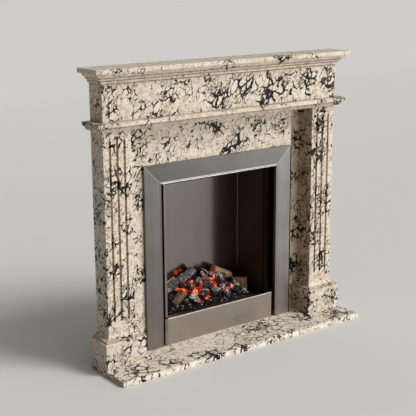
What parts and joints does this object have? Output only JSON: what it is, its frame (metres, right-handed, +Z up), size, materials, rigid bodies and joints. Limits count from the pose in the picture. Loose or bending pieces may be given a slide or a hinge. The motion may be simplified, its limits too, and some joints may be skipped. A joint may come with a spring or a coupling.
{
  "type": "fireplace mantel",
  "caption": "Marble fireplace mantel on a hearth slab, with fluted pilasters, moulded shelf, steel trim frame and an inset firebox with glowing coals and logs.",
  "frame": {"origin": "middle of the whole part's bounding box at its base: on the floor, half-way between the hearth's ends and half-way between the hearth's front edge and the firebox's back", "axes": "+X to the right along the mantel as seen from the room, +Y back into the wall, +Z up; the wall plane is y = 0.0285 m"},
  "size_m": [1.372, 0.467, 1.283],
  "materials": {
    "marble": "polished cream marble with ochre tints and dark veins",
    "trim_steel": "satin grey steel sheet",
    "firebox_steel": "glossy dark enamelled sheet",
    "embers": "glowing ember bed",
    "coal": "matt dark lumps with grey ash",
    "bark": "moulded ceramic log, brown as bark",
    "char": "moulded ceramic log, charred and ash-grey"
  },
  "bodies": {
    "root": {"hearth_slab": "marble", "plinth_left": "marble", "plinth_right": "marble", "pilaster_left": "marble", "pilaster_right": "marble", "back_panel": "marble", "moulded_band": "marble", "frieze_block": "marble", "cornice_moulding": "marble", "mantel_shelf": "marble", "frame_stile_left": "trim_steel", "frame_stile_right": "trim_steel", "frame_head_rail": "trim_steel", "fret_panel": "trim_steel", "firebox_side_left": "firebox_steel", "firebox_side_right": "firebox_steel", "firebox_top": "firebox_steel", "firebox_floor": "firebox_steel", "firebox_back": "firebox_steel", "ember_bed": "embers", "coal_01": "coal", "coal_02": "coal", "coal_03": "coal", "coal_04": "coal", "coal_05": "coal", "coal_06": "coal", "coal_07": "coal", "coal_08": "coal", "coal_09": "coal", "coal_10": "coal", "coal_11": "coal", "coal_12": "coal", "coal_13": "coal", "coal_14": "coal", "coal_15": "coal", "coal_16": "coal", "coal_17": "coal", "coal_18": "coal", "coal_19": "coal", "coal_20": "coal", "coal_21": "coal", "coal_22": "coal", "coal_23": "coal", "log_charred": "char", "log_behind": "bark", "log_front": "bark", "log_top": "bark", "log_sawn_block": "bark"}
  },
  "joints": []
}
